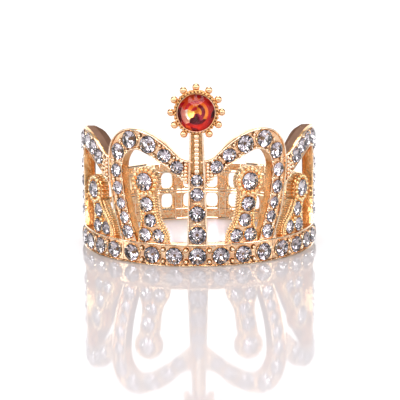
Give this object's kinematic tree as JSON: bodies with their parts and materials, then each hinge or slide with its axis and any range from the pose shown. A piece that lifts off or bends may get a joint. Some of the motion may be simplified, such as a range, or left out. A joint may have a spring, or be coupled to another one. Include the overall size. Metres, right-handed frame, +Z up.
{
  "type": "miniature rhinestone crown",
  "caption": "Small open crown of gold-plated cast strips set with clear rhinestones, with looped arches, a pierced rear band and a round orange crystal on the front post.",
  "frame": {"origin": "centre of the crown's round outline, on the plane that its lower rim rests on", "axes": "+Z up; the front, with the post and crest, faces -Y; +X is the right side seen from the front; the crown is its own mirror image across X = 0"},
  "size_m": [0.0556, 0.0558, 0.0413],
  "materials": {
    "gold_plate": "polished, light gold plating",
    "clear_stone": "faceted, foil-backed",
    "orange_stone": "faceted, foil-backed"
  },
  "bodies": {
    "root": {"front_base_band": "gold_plate", "rear_lattice_band": "gold_plate", "centre_post": "gold_plate", "crest_cup": "gold_plate", "crest_beads": "gold_plate", "right_base_band": "gold_plate", "right_front_loop": "gold_plate", "right_side_loop": "gold_plate", "right_rear_arm": "gold_plate", "right_front_tower": "gold_plate", "right_side_tower": "gold_plate", "left_base_band": "gold_plate", "left_front_loop": "gold_plate", "left_side_loop": "gold_plate", "left_rear_arm": "gold_plate", "left_front_tower": "gold_plate", "left_side_tower": "gold_plate", "front_base_stones": "clear_stone", "rear_lattice_stones": "clear_stone", "centre_post_stones": "clear_stone", "right_base_stones": "clear_stone", "right_front_loop_stones": "clear_stone", "right_side_loop_stones": "clear_stone", "right_rear_arm_stones": "clear_stone", "right_front_tower_stones": "clear_stone", "right_side_tower_stones": "clear_stone", "left_base_stones": "clear_stone", "left_front_loop_stones": "clear_stone", "left_side_loop_stones": "clear_stone", "left_rear_arm_stones": "clear_stone", "left_front_tower_stones": "clear_stone", "left_side_tower_stones": "clear_stone", "crest_crystal": "orange_stone"}
  },
  "joints": []
}
